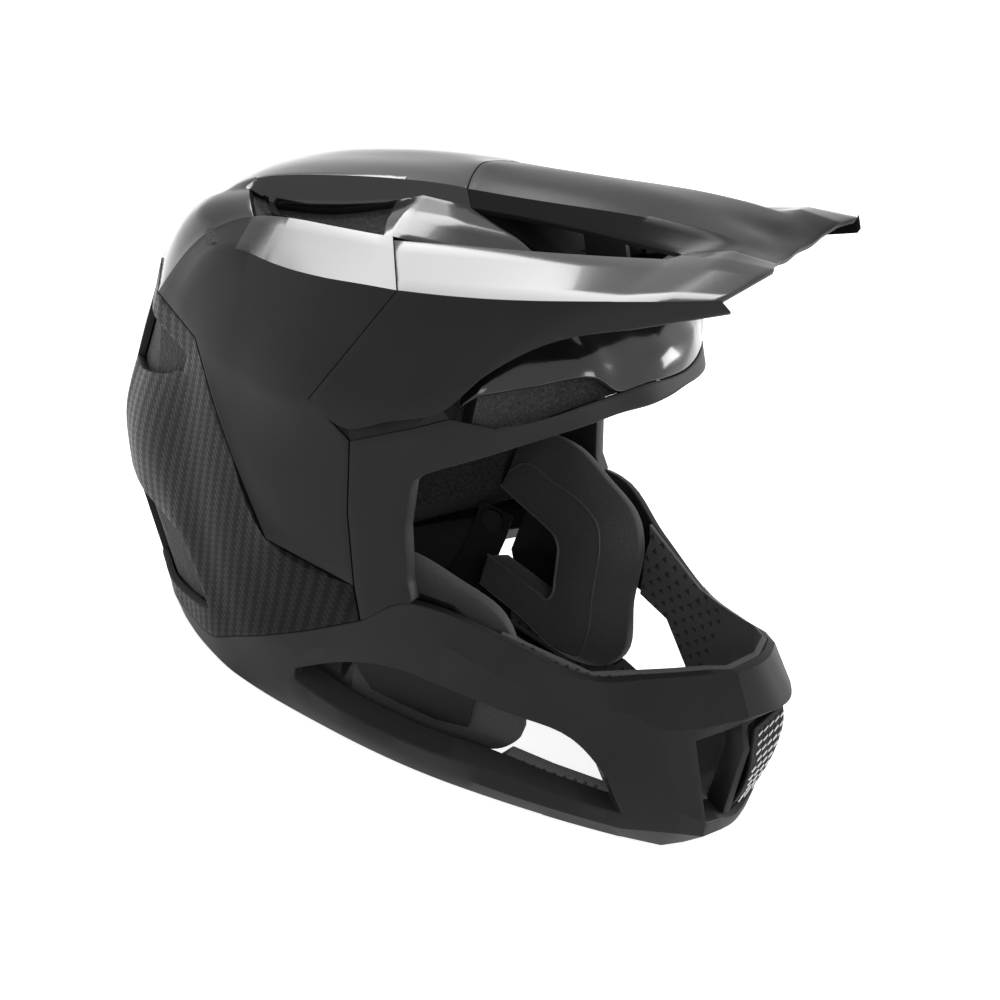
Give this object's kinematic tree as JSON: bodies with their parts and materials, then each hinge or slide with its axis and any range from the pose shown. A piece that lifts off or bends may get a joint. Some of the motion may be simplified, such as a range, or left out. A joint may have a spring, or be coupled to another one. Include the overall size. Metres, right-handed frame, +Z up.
{
  "type": "downhill bike full face helmet",
  "caption": "Full face bicycle helmet with a long peaked visor on a thumb screw, vented crown, open eyeport, chin bar with side windows and a mouth vent mesh, and snap-in cheek pads.",
  "frame": {"origin": "middle of the overall box, on the ground plane that the lower ring stands on", "axes": "+Z up, face towards -Y, the rider's right side towards -X"},
  "size_m": [0.2308, 0.3503, 0.2872],
  "materials": {
    "gloss_shell": "high-gloss black paint under clear coat",
    "carbon_shell": "satin carbon twill laminate",
    "matt_shell": "satin-matt charcoal paint",
    "matt_visor": "gloss black top with satin-matt charcoal wings",
    "liner_cloth": "grey perforated cloth over foam",
    "foam": "dark moulded bead foam",
    "pad_cloth": "dark brushed knit",
    "cheek_cloth": "smooth dark knit over foam",
    "black_plastic": "fine-grained moulded plastic",
    "mesh": "satin grey moulded grille",
    "webbing": "woven black webbing",
    "rivet": "blackened steel rivet"
  },
  "bodies": {
    "helmet": {"crown_shell": "gloss_shell", "rear_shell": "carbon_shell", "chin_bar": "matt_shell", "eyeport_frame": "matt_shell", "brow_panel": "gloss_shell", "side_rails": "matt_shell", "chin_liner": "liner_cloth", "front_foam": "foam", "rear_foam": "foam", "crown_pad": "pad_cloth", "brow_pad": "pad_cloth", "nape_pad": "pad_cloth", "visor_bracket": "black_plastic", "mouth_vent": "black_plastic", "mouth_mesh": "mesh", "cheek_sockets": "black_plastic", "strap_right": "webbing", "strap_left": "webbing", "strap_anchors": "rivet", "buckle_housing": "black_plastic", "buckle_plug": "black_plastic"},
    "visor": {"visor": "matt_visor", "visor_tongue": "black_plastic"},
    "thumb_screw": {"thumb_screw": "black_plastic"},
    "cheek_right": {"cheek_pad_right": "cheek_cloth", "cheek_carrier_right": "black_plastic"},
    "cheek_left": {"cheek_pad_left": "cheek_cloth", "cheek_carrier_left": "black_plastic"}
  },
  "joints": [
    {"name": "visor_release", "type": "slide", "parent": "helmet", "child": "visor", "axis": [0, -0.9593, 0.2823], "range_m": [0, 0.09]},
    {"name": "thumb_screw_turn", "type": "hinge", "parent": "helmet", "child": "thumb_screw", "pos_m": [0, -0.0315, 0.24624], "axis": [0, 0.2823, 0.9593], "continuous": true},
    {"name": "cheek_right_release", "type": "slide", "parent": "helmet", "child": "cheek_right", "axis": [0.9525, 0.2375, 0.1908], "range_m": [0, 0.022]},
    {"name": "cheek_left_release", "type": "slide", "parent": "helmet", "child": "cheek_left", "axis": [-0.9525, 0.2375, 0.1908], "range_m": [0, 0.022]}
  ]
}
